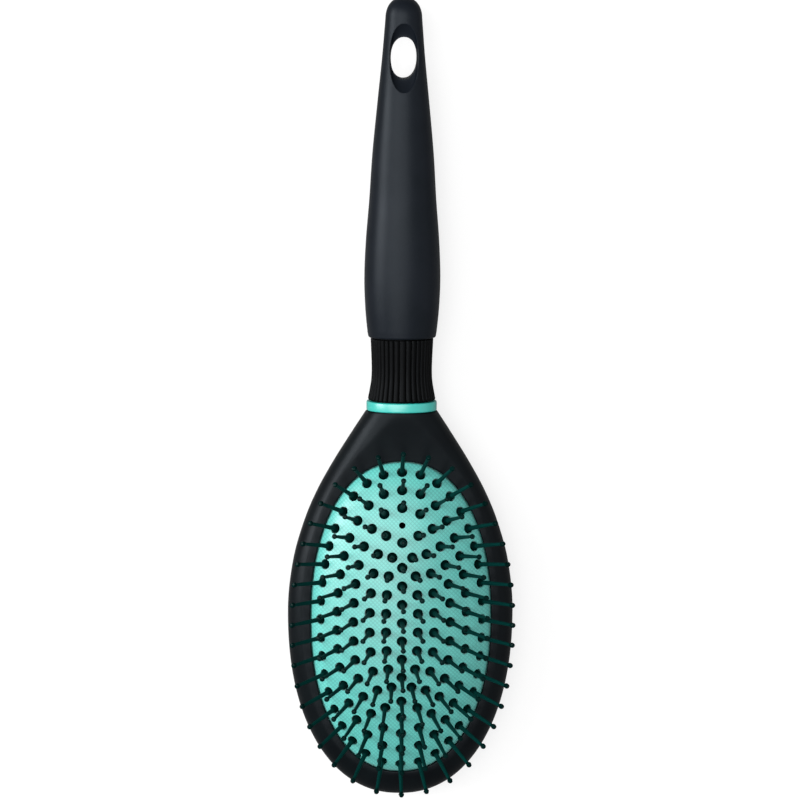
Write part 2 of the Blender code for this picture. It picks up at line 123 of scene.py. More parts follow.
def finish_piece(bm, name):
    """Turn a bmesh in millimetres into an object in metres, smooth except at its sharp edges."""
    bmesh.ops.scale(bm, vec=(MM, MM, MM), verts=bm.verts[:])
    mesh = bpy.data.meshes.new(name)
    bm.to_mesh(mesh)
    bm.free()
    mesh.shade_smooth()
    mesh.set_sharp_from_angle(angle=SHARP_ANGLE)
    piece = bpy.data.objects.new(name, mesh)
    bpy.context.scene.collection.objects.link(piece)
    return piece


def carve(piece, tool, operation="DIFFERENCE"):
    """Cut a tool's shape out of a piece, or join it on, and remove the tool."""
    change = piece.modifiers.new("carve", "BOOLEAN")
    change.operation = operation
    change.solver = "EXACT"
    change.object = tool
    graph = bpy.context.evaluated_depsgraph_get()
    carved = bpy.data.meshes.new_from_object(piece.evaluated_get(graph))
    piece.modifiers.clear()
    piece.data = carved
    carved.set_sharp_from_angle(angle=SHARP_ANGLE)
    bpy.data.objects.remove(tool, do_unlink=True)


def enrol(piece, body, slot, *nodes):
    """Hang a piece on its body and hide the CAD nodes that it stands for; slot, its finish, is not used."""
    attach(piece, body)
    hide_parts(*nodes)
    print(piece.name, "has", len(piece.data.polygons), "faces")


# %% [markdown]
# ## Head shell
# The head is one black moulding: a rounded pebble, 68 mm wide, that narrows to the neck. Its front is cut
# flat around the cushion and lifts towards the neck, and a soft crease runs where the flat front meets the
# round side. The back is flat too, so that the brush can lie down. First come the pebble's sizes.

# %% The head's pebble
HEAD_HALF_WIDTH = 34.15
HEAD_WIDEST_Y = 1.1
HEAD_ROUND_LENGTH = 56.6
HEAD_END_Y = 62.3
SHOULDER_LENGTH = HEAD_END_Y - HEAD_WIDEST_Y
NECK_HALF_WIDTH = 10.8
SHOULDER = [(-0.252, 0.934), (0.0, 1.0), (0.252, 0.934), (0.453, 0.788), (0.603, 0.624), (0.753, 0.409),
            (0.904, 0.163), (1.0, 0.0)]
HALF_DEPTH = [(-0.45, 10.2), (0.0, 10.6), (0.45, 10.2), (0.7, 9.3), (0.87, 8.4), (1.0, 8.2)]
MIDDLE_Z = [(0.0, 8.9), (0.45, 8.9), (0.75, 9.2), (1.0, 9.7)]
OVAL_EXPONENT = 2.2
SECTION_EXPONENT = 2.5


def head_size(y):
    """Half width, half depth and middle height of the pebble's cross-section at y."""
    if y < HEAD_WIDEST_Y:
        share = (HEAD_WIDEST_Y - y) / HEAD_ROUND_LENGTH
        depth = HALF_DEPTH[1][1] * quarter(share, SECTION_EXPONENT)
        return HEAD_HALF_WIDTH * quarter(share, OVAL_EXPONENT), depth, MIDDLE_Z[0][1]
    share = (y - HEAD_WIDEST_Y) / SHOULDER_LENGTH
    width = NECK_HALF_WIDTH + (HEAD_HALF_WIDTH - NECK_HALF_WIDTH) * smooth(SHOULDER, share)
    return width, smooth(HALF_DEPTH, share), smooth(MIDDLE_Z, share)


widest = [round(value, 2) for value in head_size(HEAD_WIDEST_Y)]
print("half width, half depth and middle where the head is widest", widest)

# %% [markdown]
# The flat front and the flat back meet the pebble in soft creases. A soft minimum does that: it follows
# the lower of two heights and rounds the change between them, the more the larger its width is.

# %% Front and back of the head
FRONT_Z = 15.2
FRONT_LIFT = 2.9
LIFT_START = 0.5
LIFT_EXPONENT = 2.2
CREASE_WIDTH = 0.3
LAND_WIDTH = 0.5


def soft_min(a, b, width):
    """The lower of two heights, with a rounded change between them."""
    return (a + b - math.sqrt((a - b) ** 2 + width**2)) / 2


def face_height(y):
    """Height of the front face, which lifts towards the neck."""
    share = (y - HEAD_WIDEST_Y) / SHOULDER_LENGTH
    lift = max(share - LIFT_START, 0.0) / (1 - LIFT_START)
    return FRONT_Z + FRONT_LIFT * lift**LIFT_EXPONENT


def head_point(plan, side):
    """The point of the head's front (side 1) or back (side -1) over a plan point."""
    width, depth, middle = head_size(plan.y)
    rise = depth * quarter(abs(plan.x) / width, SECTION_EXPONENT) if width > MERGE else 0.0
    if rise < MERGE:
        return Vector((plan.x, plan.y, middle))
    if side > 0:
        z = soft_min(middle + rise, face_height(plan.y), CREASE_WIDTH)
    else:
        z = -soft_min(rise - middle, 0.0, LAND_WIDTH)
    return Vector((plan.x, plan.y, z))


# %% [markdown]
# The surface is drawn along rails, spread evenly round the brush. A rail starts in the middle of the
# cavity's floor, climbs its wall, goes through the groove that holds the cushion's flange, turns over the
# lip, crosses the front to the outline and comes back underneath. At the neck the head ends in a flat face,
# so the rails there also run down that face. The groove is high enough for the flange to move in it when the
# cushion is pressed.

# %% Rails of the head
OPENING_HALF_WIDTH = 27.0
OPENING_HALF_LENGTH = 47.3
FIT = 0.3
CAVITY_FLOOR_Z = 3.0
CAVITY_GROW = -0.7
LEDGE_Z = 12.2
GROOVE_TOP_Z = 14.2
GROOVE_GROW = 2.5
LIP_ROUNDING = 0.35
HEAD_RAILS = 256
NECK_RAILS = 20
NECK_SHARE = NECK_RAILS / HEAD_RAILS
FLOOR_STEPS = 5
LIP_STEPS = 4
FRONT_STEPS = 64
END_STEPS = 8
BACK_STEPS = 40
EDGE_CROWDING = 2.5
NECK_CROWDING = 1.5


def oval(turn, half_width, half_length):
    """Plan point of an oval round the pad's middle."""
    return Vector(superellipse(half_width, half_length, turn, OVAL_EXPONENT))


def opening(turn, grow):
    """Plan point of the cushion's opening, grown or shrunk."""
    return oval(turn, OPENING_HALF_WIDTH + grow, OPENING_HALF_LENGTH + grow)


def outline(turn):
    """Plan point of the head's outline that a rail ends at, and how strongly its steps crowd there."""
    half_turn = min(turn, 1 - turn)
    side = 1 if turn < 0.5 else -1
    if half_turn <= NECK_SHARE:
        share = half_turn / NECK_SHARE
        crowding = NECK_CROWDING + (EDGE_CROWDING - NECK_CROWDING) * share
        return Vector((side * NECK_HALF_WIDTH * share, HEAD_END_Y)), crowding
    if half_turn < 0.25:
        y = HEAD_WIDEST_Y + SHOULDER_LENGTH * (0.25 - half_turn) / (0.25 - NECK_SHARE)
        return Vector((side * head_size(y)[0], y)), EDGE_CROWDING
    x, y = superellipse(HEAD_HALF_WIDTH, HEAD_ROUND_LENGTH, turn, OVAL_EXPONENT)
    return Vector((x, HEAD_WIDEST_Y + y)), EDGE_CROWDING


def head_rail(turn):
    """Points from the cavity's floor over the front and the outline to the middle of the back."""
    wall = opening(turn, CAVITY_GROW)
    points = [Vector((*(wall * share), CAVITY_FLOOR_Z)) for share in steps(0, 1, FLOOR_STEPS)]
    for grow, z in [(CAVITY_GROW, LEDGE_Z), (GROOVE_GROW, LEDGE_Z), (GROOVE_GROW, GROOVE_TOP_Z),
                    (FIT, GROOVE_TOP_Z)]:
        points.append(Vector((*opening(turn, grow), z)))

    start = opening(turn, FIT + LIP_ROUNDING)
    lip_z = head_point(start, 1).z
    for angle in steps(0, math.pi / 2, LIP_STEPS)[:-1]:
        plan = opening(turn, FIT + LIP_ROUNDING * (1 - math.cos(angle)))
        points.append(Vector((*plan, lip_z - LIP_ROUNDING * (1 - math.sin(angle)))))

    end, crowding = outline(turn)
    for share in steps(1, 0, FRONT_STEPS):
        points.append(head_point(end.lerp(start, share**crowding), 1))
    upper, lower = points[-1], head_point(end, -1)
    points += [upper.lerp(lower, share) for share in steps(0, 1, END_STEPS)[1:-1]]
    middle = Vector((0.0, HEAD_WIDEST_Y))
    for share in steps(0, 1, BACK_STEPS):
        points.append(head_point(end.lerp(middle, share**crowding), -1))
    return points


head = finish_piece(skin([head_rail(turn) for turn in steps(0, 1, HEAD_RAILS)]), "Head_shell")

# %% [markdown]
# A rounded bar, the tang, goes on from the neck through the ring and the sleeve into the handle. It is part
# of the same moulding, so it is joined on with a boolean. A wide collar at its start nearly touches the ring
# and fills most of the thin slot between head and ring, so that hardly any light shows through.

# %% Tang
HANDLE_MIDDLE_Z = 9.75
HANDLE_EXPONENT = 2.2
TANG_HALF_WIDTH = 6.0
TANG_HALF_DEPTH = 4.6
TANG_ROUNDING = 0.6
TANG_END_Y = 101.05
TANG_ROOT = 2.0
TANG_SEGMENTS = 48
COLLAR_REACH = 0.25
NECK_COLLAR = (10.0, 7.6)


def handle_loop(y, half_width, half_depth, count):
    """A closed cross-section of the handle at y."""
    loop = []
    for turn in steps(0, 1, count):
        x, z = superellipse(half_width, half_depth, turn, HANDLE_EXPONENT)
        loop.append(Vector((x, y, HANDLE_MIDDLE_Z + z)))
    return loop


root_y = HEAD_END_Y - TANG_ROOT
collar_end_y = HEAD_END_Y + COLLAR_REACH
tang_loops = [handle_loop(root_y, 0.0, 0.0, TANG_SEGMENTS)]
tang_loops += [handle_loop(y, *NECK_COLLAR, TANG_SEGMENTS) for y in (root_y, collar_end_y)]
for y, shrink in [(collar_end_y, 0.0), (TANG_END_Y - TANG_ROUNDING, 0.0), (TANG_END_Y, TANG_ROUNDING),
                  (TANG_END_Y, TANG_HALF_WIDTH)]:
    depth = max(TANG_HALF_DEPTH - shrink, 0.0)
    tang_loops.append(handle_loop(y, TANG_HALF_WIDTH - shrink, depth, TANG_SEGMENTS))
carve(head, finish_piece(skin(tang_loops), "Tang"), "UNION")
enrol(head, "brush", "head_black", "head_shell")

# %% [markdown]
# ## Cushion
# The rubber pad is a dome, highest in its middle and steep at its edge, with a flange underneath that sits
# in the head's groove. Points of one height lie on one scaled copy of the edge, so the height follows from
# how far out a point lies: 0 in the middle and 1 on the edge. The slope in each direction gives the normal,
# which is also the direction of a pin that stands there.

# %% The dome
CROWN_HEIGHT = 10.6
CROWN_FULLNESS = 2.1
EDGE_BULGE = 0.64
EDGE_Z = 14.9
FIRST_RING_INSET = 2.6
SMALL = 0.001


def dome(plan):
    """Point and outward normal on the dome over a plan point."""
    across, along = abs(plan.x) / OPENING_HALF_WIDTH, abs(plan.y) / OPENING_HALF_LENGTH
    share = (across**OVAL_EXPONENT + along**OVAL_EXPONENT) ** (1 / OVAL_EXPONENT)
    inside = 1 - min(share, 1.0) ** CROWN_FULLNESS
    point = Vector((plan.x, plan.y, EDGE_Z + CROWN_HEIGHT * inside**EDGE_BULGE))
    if share < SMALL:
        return point, UP.copy()
    fall = CROWN_HEIGHT * EDGE_BULGE * max(inside, SMALL) ** (EDGE_BULGE - 1)
    fall *= CROWN_FULLNESS * share ** (CROWN_FULLNESS - OVAL_EXPONENT)
    slope_x = fall * across ** (OVAL_EXPONENT - 1) / OPENING_HALF_WIDTH
    slope_y = fall * along ** (OVAL_EXPONENT - 1) / OPENING_HALF_LENGTH
    normal = Vector((math.copysign(slope_x, plan.x), math.copysign(slope_y, plan.y), 1.0))
    return point, normal.normalized()


side_normal = dome(Vector((OPENING_HALF_WIDTH - FIRST_RING_INSET, 0.0)))[1]
print("the dome's top is at", EDGE_Z + CROWN_HEIGHT, "mm")
print("an outer side pin leans", round(math.degrees(side_normal.angle(UP)), 1), "degrees")

# %% [markdown]
# The pad's wall is 1.6 mm thick. Its rails run from a line along the middle over the dome to the edge,
# round the flange and back along the inner face. Their steps crowd near the edge, where the dome is steep.

# %% Cushion pad
CUSHION_RAILS = 224
DOME_STEPS = 52
INNER_STEPS = 26
RIM_CROWDING = 1.6
CUSHION_WALL = 1.6
FLANGE_GROW = 2.2
FLANGE_INSET = 1.4
FLANGE_TOP_Z = 13.5
FLANGE_BOTTOM_Z = 12.5
FLANGE_EDGE = 0.15
FLANGE_FILLET = 0.3


def cushion_rail(turn):
    """Points from the dome's middle line to the edge, round the flange and back along the inner face."""
    points = []
    for share in steps(1, 0, DOME_STEPS):
        points.append(dome(opening(turn, -OPENING_HALF_WIDTH * share**RIM_CROWDING))[0])
    flat_end = FLANGE_GROW - FLANGE_EDGE
    for grow, z in [(0.0, FLANGE_TOP_Z + FLANGE_FILLET), (FLANGE_FILLET, FLANGE_TOP_Z),
                    (flat_end, FLANGE_TOP_Z), (FLANGE_GROW, FLANGE_TOP_Z - FLANGE_EDGE),
                    (FLANGE_GROW, FLANGE_BOTTOM_Z + FLANGE_EDGE), (flat_end, FLANGE_BOTTOM_Z),
                    (-FLANGE_INSET, FLANGE_BOTTOM_Z)]:
        points.append(Vector((*opening(turn, grow), z)))
    for share in steps(0, 1, INNER_STEPS)[1:]:
        point, normal = dome(opening(turn, -OPENING_HALF_WIDTH * share**RIM_CROWDING))
        inner = point - normal * CUSHION_WALL
        inner.z = max(inner.z, FLANGE_BOTTOM_Z)
        points.append(inner)
    return points


cushion = finish_piece(skin([cushion_rail(turn) for turn in steps(0, 1, CUSHION_RAILS)]), "Cushion")

# %% [markdown]
# ## Where the pins stand
# The pins stand in five oval rings and a short row along the middle. Each ring has evenly spread places. The
# place of the fourth ring nearest the handle is the air vent. A pin's axis is square to the dome.

# %% Pin seats
PIN_COUNTS = [40, 34, 28, 22, 18]
VENT_RING = 3
ROW_COUNT = 7
RING_SIDE_PITCH = 4.9
RING_END_PITCH = 5.125
ROW_END_SPACE = 3.05
OVAL_SAMPLES = 1440


def ring_size(ring):
    """Half width and half length of a ring of pins."""
    half_width = OPENING_HALF_WIDTH - FIRST_RING_INSET - RING_SIDE_PITCH * ring
    half_length = OPENING_HALF_LENGTH - FIRST_RING_INSET - RING_END_PITCH * ring
    return Vector((half_width, half_length))


def ring_places(ring):
    """Plan places spread evenly round one ring, from its handle end."""
    fine = [oval(turn, *ring_size(ring)) for turn in steps(0, 1, OVAL_SAMPLES)]
    travelled = [0.0]
    for a, b in zip(fine, fine[1:]):
        travelled.append(travelled[-1] + (b - a).length)
    places = []
    for k in range(PIN_COUNTS[ring]):
        wanted = travelled[-1] * k / PIN_COUNTS[ring]
        i = max(n for n in range(OVAL_SAMPLES) if travelled[n] <= wanted)
        share = (wanted - travelled[i]) / (travelled[i + 1] - travelled[i])
        places.append(fine[i].lerp(fine[i + 1], share))
    return places


def seat(plan):
    """A frame standing on the dome: its Z axis is the pin's axis."""
    point, normal = dome(plan)
    return Matrix.Translation(point) @ normal.to_track_quat("Z", "Y").to_matrix().to_4x4()


rings = [ring_places(ring) for ring in range(len(PIN_COUNTS))]
row_end = rings[-1][1].y - ROW_END_SPACE
ring_seats = [[seat(place) for place in places] for places in rings]
vent_seat = ring_seats[VENT_RING].pop(0)
row_seats = [seat(Vector((0.0, y))) for y in steps(-row_end, row_end, ROW_COUNT - 1)]
print("pins", sum(len(seats) for seats in ring_seats) + len(row_seats))

# %% [markdown]
# Each pin's thick root pushes up through its own hole in the pad, with a little air around it. The holes and
# the vent are cut with one tool, a bundle of cylinders along the pins' axes.

# %% Holes through the cushion
ROOT_RADIUS = 1.3
ROOT_GAP = 0.3
VENT_RADIUS = 1.0
HOLE_SIDES = 20
HOLE_REACH = 8.0


def add_drill(bm, place, radius):
    """Add a cylinder whose axis is a seat's Z axis."""
    bmesh.ops.create_cone(bm, cap_ends=True, segments=HOLE_SIDES, radius1=radius, radius2=radius,
                          depth=HOLE_REACH, matrix=place)


drills = bmesh.new()
for place in [place for seats in ring_seats for place in seats] + row_seats:
    add_drill(drills, place, ROOT_RADIUS + ROOT_GAP)
add_drill(drills, vent_seat, VENT_RADIUS)
carve(cushion, finish_piece(drills, "Drills"))
enrol(cushion, "brush", "cushion_mint", "cushion")
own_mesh(cushion)

# %% [markdown]
# ## Pins
# A pin is moulded with a wide root, a short flare, a tapered stem and a ball at its end. Under the surface
# the root narrows, which leaves room for the rubber when the pad is pressed. The pin's outline is turned
# about Z with the spin operator. There are 148 of them, so one pin has only eight sides. Its vertices carry
# two numbers that the finish uses later. One is 1 on the ball, because the balls are polished. The other is
# 1 on the stem, where the finish paints a lighter green than on the root. That is painted light: it stands
# in for the pad's light that the stems catch and reflect, while the roots lie in shade.

# %% One pin
PIN_SIDES = 8
PIN_PROFILE = [(0.7, -2.2), (1.08, -0.4), (ROOT_RADIUS, 0.12), (0.82, 0.75), (0.72, 1.6),
               (0.5, 12.3), (0.74, 12.85), (0.85, 13.35), (0.65, 13.92), (0.0, 14.2)]
BALL_START = 12.6
BALL_LAYER = "ball"
# Painted light: from here up to the ball the stems get a lighter green, for the pad's light they catch.
LIT_STEM_START = 1.0
LIT_STEM_LAYER = "stem"


def add_pin_layers(bm):
    """Give a bmesh the two numbers that each vertex of a pin carries."""
    bm.verts.layers.float.new(BALL_LAYER)
    bm.verts.layers.float.new(LIT_STEM_LAYER)


def make_pin(bm):
    """Add one pin that stands on the origin, and return its vertices, edges and faces."""
    verts = [bm.verts.new((radius, 0.0, height)) for radius, height in PIN_PROFILE]
    edges = [bm.edges.new(pair) for pair in zip(verts, verts[1:])]
    bmesh.ops.spin(bm, geom=verts + edges, cent=(0, 0, 0), axis=UP, angle=math.tau, steps=PIN_SIDES,
                   use_merge=True)
    bmesh.ops.remove_doubles(bm, verts=bm.verts[:], dist=MERGE)
    bmesh.ops.recalc_face_normals(bm, faces=bm.faces[:])
    add_pin_layers(bm)
    ball = bm.verts.layers.float[BALL_LAYER]
    stem = bm.verts.layers.float[LIT_STEM_LAYER]
    for vert in bm.verts:
        vert[ball] = float(vert.co.z > BALL_START)
        # Marks the stem, where the finish paints light.
        vert[stem] = float(LIT_STEM_START < vert.co.z < BALL_START)
    return bm.verts[:] + bm.edges[:] + bm.faces[:]


# %% [markdown]
# The pins' roots are joined by a flexible mat under the pad. It comes in slices, one for each outer ring and
# one for the flat middle, so that the outer pins sink less than the middle ones when the brush is used.

# %% Mat slices
MAT_TOP_DEPTH = CUSHION_WALL + FIT
MAT_THICKNESS = 1.2
MAT_GAP = 0.4
MAT_RIM = 1.8
MAT_RAILS = 128
MAT_STEPS = 6
PIN_BODIES = {"outer_pins": "pin_ring_outer", "second_pins": "pin_ring_second",
              "third_pins": "pin_ring_third", "fourth_pins": "pin_ring_fourth",
              "centre_pins": "pin_field_centre"}


def mat_rail(turn, outer, inner):
    """Points along a slice's top from its outer to its inner oval and back along its underside."""
    top = []
    for share in steps(0, 1, MAT_STEPS):
        point, normal = dome(oval(turn, *outer.lerp(inner, share)))
        top.append(point - normal * MAT_TOP_DEPTH)
    bottom = [point - UP * MAT_THICKNESS for point in reversed(top)]
    return top + bottom + top[:1]


def make_mat(ring):
    """The flexible slice that joins one ring's roots; the innermost one also fills the middle."""
    size = ring_size(ring)
    half_slice = Vector((RING_SIDE_PITCH - MAT_GAP, RING_END_PITCH - MAT_GAP)) / 2
    outer = size + (Vector((MAT_RIM, MAT_RIM)) if ring == 0 else half_slice)
    inner = size - half_slice if ring < len(PIN_COUNTS) - 1 else Vector((0.0, size.y - size.x))
    return skin([mat_rail(turn, outer, inner) for turn in steps(0, 1, MAT_RAILS)])


def place_pins(bm, seats):
    """Copy one pin onto every seat."""
    pattern = bmesh.new()
    made = make_pin(pattern)
    for place in seats:
        copied = bmesh.ops.duplicate(pattern, geom=made)["geom"]
        copies = [item for item in copied if isinstance(item, bmesh.types.BMVert)]
        bmesh.ops.transform(pattern, matrix=place, verts=copies)
    originals = [item for item in made if isinstance(item, bmesh.types.BMVert)]
    bmesh.ops.delete(pattern, geom=originals, context="VERTS")
    mesh = bpy.data.meshes.new("pins")
    pattern.to_mesh(mesh)
    pattern.free()
    add_pin_layers(bm)
    bm.from_mesh(mesh)
    bpy.data.meshes.remove(mesh)


pin_pieces = []
for ring, (body, node) in enumerate(PIN_BODIES.items()):
    last = ring == len(PIN_COUNTS) - 1
    mat = make_mat(ring)
    if ring == VENT_RING:
        plate = finish_piece(mat, "Mat")
        vent = bmesh.new()
        add_drill(vent, vent_seat, VENT_RADIUS)
        carve(plate, finish_piece(vent, "Vent"))
        mat = bmesh.new()
        mat.from_mesh(plate.data)
        bmesh.ops.scale(mat, vec=(1 / MM, 1 / MM, 1 / MM), verts=mat.verts[:])
        bpy.data.objects.remove(plate, do_unlink=True)
    place_pins(mat, ring_seats[ring] + (row_seats if last else []))
    pins = finish_piece(mat, "Pins_" + body.split("_")[0])
    enrol(pins, body, "pin_black", node)
    polished = sum(item.value > 0 for item in pins.data.attributes[BALL_LAYER].data)
    print("of its vertices", polished, "are on balls")
    pin_pieces.append(pins)

# %% [markdown]
# ## Accent ring
# A glossy mint ring is threaded on the tang between the head and the sleeve. Its outer edges are rounded.
# Its section is drawn as one loop: through the bore, over the end, round the outside and back.

# %% Accent ring
RING_START_Y = HEAD_END_Y + FIT
RING_LENGTH = 2.85
RING_HALF_WIDTH = 10.6
RING_HALF_DEPTH = 8.5
RING_EDGE = 0.4
EDGE_STEPS = 5
HANDLE_SEGMENTS = 128


def rounded_edge(y, inward, radius, half_width, half_depth):
    """Loops that turn from an end face into a side, or back when inward is -1."""
    loops = []
    for angle in steps(0, math.pi / 2, EDGE_STEPS):
        shrink = radius * (1 - math.sin(angle))
        place = y + inward * radius * (1 - math.cos(angle))
        loops.append((place, half_width - shrink, half_depth - shrink))
    return loops if inward > 0 else loops[::-1]


bore = (TANG_HALF_WIDTH + FIT, TANG_HALF_DEPTH + FIT)
ring_end_y = RING_START_Y + RING_LENGTH
ring_sizes = [(RING_START_Y, *bore)]
ring_sizes += rounded_edge(RING_START_Y, 1, RING_EDGE, RING_HALF_WIDTH, RING_HALF_DEPTH)
ring_sizes += rounded_edge(ring_end_y, -1, RING_EDGE, RING_HALF_WIDTH, RING_HALF_DEPTH)
ring_sizes += [(ring_end_y, *bore), (RING_START_Y, *bore)]
ring_loops = [handle_loop(*size, HANDLE_SEGMENTS) for size in ring_sizes]
accent_ring = finish_piece(skin(ring_loops), "Accent_ring")
enrol(accent_ring, "brush", "ring_mint", "accent_ring")

# %% [markdown]
# ## Ribbed sleeve
# The sleeve is waisted and has 36 ribs along it. Between two ribs is a narrow groove. A rib's outline
# across is a power curve: flat on its crest and steep at the groove, with eight points to a rib. A low
# collar on each end nearly touches the next piece, so that hardly any light shows through the joints.

# %% Ribbed sleeve
SLEEVE_START_Y = ring_end_y + FIT
SLEEVE_LENGTH = 18.7
SLEEVE_WAIST = [(0.0, 10.25), (0.17, 9.65), (0.33, 9.2), (0.54, 9.1), (1.0, 9.45)]
SLEEVE_DEPTH_RATIO = 0.83
SLEEVE_STEPS = 24
START_ROUNDING = 0.35
END_ROUNDING = 0.2
RIB_COUNT = 36
RIB_POINTS = 8
RIB_DEPTH = 0.45
RIB_FLATNESS = 3
FIRST_COLLAR = (9.3, 7.5)
LAST_COLLAR = (8.6, 7.0)


def ribbed_loop(y, half_width, half_depth, rib_depth=RIB_DEPTH):
    """A closed cross-section at y with the ribs on its outside."""
    loop = []
    for k in range(RIB_COUNT * RIB_POINTS + 1):
        across = abs(2 * (k % RIB_POINTS) / RIB_POINTS - 1)
        shrink = rib_depth * across**RIB_FLATNESS
        x, z = superellipse(half_width - shrink, half_depth - shrink, (k / RIB_POINTS - 0.5) / RIB_COUNT,
                            HANDLE_EXPONENT)
        loop.append(Vector((x, y, HANDLE_MIDDLE_Z + z)))
    return loop


def sleeve_loop(y, shrink):
    width = smooth(SLEEVE_WAIST, (y - SLEEVE_START_Y) / SLEEVE_LENGTH)
    return ribbed_loop(y, width - shrink, width * SLEEVE_DEPTH_RATIO - shrink)


sleeve_end_y = SLEEVE_START_Y + SLEEVE_LENGTH
bore_count = RIB_COUNT * RIB_POINTS
loops = [handle_loop(SLEEVE_START_Y - COLLAR_REACH, *bore, bore_count)]
for y in (SLEEVE_START_Y - COLLAR_REACH, SLEEVE_START_Y):
    loops.append(ribbed_loop(y, *FIRST_COLLAR, rib_depth=0.0))
loops.append(sleeve_loop(SLEEVE_START_Y, START_ROUNDING))
for y in steps(SLEEVE_START_Y + START_ROUNDING, sleeve_end_y - END_ROUNDING, SLEEVE_STEPS):
    loops.append(sleeve_loop(y, 0.0))
loops.append(sleeve_loop(sleeve_end_y, END_ROUNDING))
for y in (sleeve_end_y, sleeve_end_y + COLLAR_REACH):
    loops.append(ribbed_loop(y, *LAST_COLLAR, rib_depth=0.0))
loops += [handle_loop(sleeve_end_y + COLLAR_REACH, *bore, bore_count), loops[0]]
sleeve = finish_piece(skin(loops), "Ribbed_sleeve")
enrol(sleeve, "brush", "sleeve_black", "ribbed_sleeve")

# %% [markdown]
# ## Grip
# The soft grip swells and narrows along the hand and ends in a round tip. A rounded lip closes in on the
# sleeve. Inside it is hollow where it sits on the hard core. The core itself is the CAD part, because it is
# a plain moulding that nothing shows.

# %% Soft grip
GRIP_START_Y = sleeve_end_y + FIT
GRIP_LENGTH = 101.9
GRIP_END_Y = GRIP_START_Y + GRIP_LENGTH
GRIP_HALF_WIDTH = [(0.0, 10.25), (0.082, 11.08), (0.175, 11.44), (0.288, 11.01), (0.405, 10.08),
                   (0.543, 9.2), (0.7, 7.7), (0.827, 6.42), (0.94, 5.5)]
GRIP_DEPTH_RATIO = 0.84
GRIP_STEPS = 110
LIP_CURVE_STEPS = 8
TIP_STEPS = 16
LIP_RADIUS = 0.7
LIP_INSET = 0.5
TIP_ROUNDNESS = 0.8
CORE_START_Y = GRIP_START_Y + FIT
CORE_LENGTH = 69.0
CORE_HALF_WIDTH = [(0.0, 8.3), (0.26, 8.5), (0.4, 7.4), (1.0, 4.8)]
CORE_DEPTH_RATIO = 0.85

grip_sizes = [(CORE_START_Y + CORE_LENGTH + FIT, 0.0, 0.0)]
for share, width in reversed(CORE_HALF_WIDTH):
    y = GRIP_START_Y if share == 0.0 else CORE_START_Y + CORE_LENGTH * share + FIT
    grip_sizes.append((y, width + FIT, width * CORE_DEPTH_RATIO + FIT))
lip_width = GRIP_HALF_WIDTH[0][1]
for angle in steps(0, math.pi / 2, LIP_CURVE_STEPS):
    shrink = LIP_INSET * (1 - math.sin(angle))
    y = GRIP_START_Y + LIP_RADIUS * (1 - math.cos(angle))
    grip_sizes.append((y, lip_width - shrink, lip_width * GRIP_DEPTH_RATIO - shrink))
tip_share, tip_width = GRIP_HALF_WIDTH[-1]
for share in steps(LIP_RADIUS / GRIP_LENGTH, tip_share, GRIP_STEPS)[1:]:
    width = smooth(GRIP_HALF_WIDTH, share)
    grip_sizes.append((GRIP_START_Y + GRIP_LENGTH * share, width, width * GRIP_DEPTH_RATIO))
for angle in steps(0, math.pi / 2, TIP_STEPS)[1:-1]:
    width = tip_width * math.cos(angle) ** TIP_ROUNDNESS
    share = tip_share + (1 - tip_share) * math.sin(angle)
    grip_sizes.append((GRIP_START_Y + GRIP_LENGTH * share, width, width * GRIP_DEPTH_RATIO))
grip_sizes.append((GRIP_END_Y, 0.0, 0.0))
grip = finish_piece(skin([handle_loop(*size, HANDLE_SEGMENTS) for size in grip_sizes]), "Soft_grip")

# %% [markdown]
# The hang hole goes right through near the tip. On both faces it lies in a longer dish, whose oval rim
# follows the grip's round surface. The tool that cuts it is a stack of ovals. Each has a depth under the
# surface: the dish climbs from the hole to its rim, rounds over the rim and then goes straight up, clear of
# the grip.

# %% Hang hole
HOLE_FROM_TIP = 17.9
HOLE_Y = GRIP_END_Y - HOLE_FROM_TIP
HOLE_SIZE = Vector((3.9, 6.2))
DISH_SIZE = Vector((4.3, 10.1))
DISH_DEPTH = 2.0
DISH_CURVE = 1.4
DISH_STEPS = 10
RIM_ROUNDING = 0.25
RIM_STEPS = 4
HOLE_SEGMENTS = 96
CLEAR = 4.0


def grip_height(x, y):
    """Height of the grip's surface over the handle's middle."""
    half_width = smooth(GRIP_HALF_WIDTH, (y - GRIP_START_Y) / GRIP_LENGTH)
    return half_width * GRIP_DEPTH_RATIO * quarter(abs(x) / half_width, HANDLE_EXPONENT)


def hole_loop(size, depth, side):
    """An oval at a depth under the grip's front (side 1) or back (side -1)."""
    loop = []
    for turn in steps(0, 1, HOLE_SEGMENTS):
        x, y = oval(turn, *size)
        height = grip_height(x, HOLE_Y + y) - depth
        loop.append(Vector((x, HOLE_Y + y, HANDLE_MIDDLE_Z + side * height)))
    return loop


ovals = []
for share in steps(0, 1, DISH_STEPS):
    depth = DISH_DEPTH - (DISH_DEPTH - RIM_ROUNDING) * share**DISH_CURVE
    ovals.append((HOLE_SIZE.lerp(DISH_SIZE, share), depth))
for angle in steps(0, math.pi / 2, RIM_STEPS)[1:]:
    grow = RIM_ROUNDING * (1 - math.cos(angle))
    ovals.append((DISH_SIZE + Vector((grow, grow)), RIM_ROUNDING * (1 - math.sin(angle))))
ovals += [(ovals[-1][0], -CLEAR), (Vector((0.0, 0.0)), -CLEAR)]
loops = [hole_loop(*layer, -1) for layer in reversed(ovals)] + [hole_loop(*layer, 1) for layer in ovals]
carve(grip, finish_piece(skin(loops), "Hole_tool"))
enrol(grip, "brush", "grip_black", "handle_grip")

# %% [markdown]
# ## Materials
# The finishes are procedural and read Object coordinates, in metres, so they stay with the brush. Effects
# that several finishes share are node groups. This helper adds a node and sets its sockets by name.

# %% Node helpers


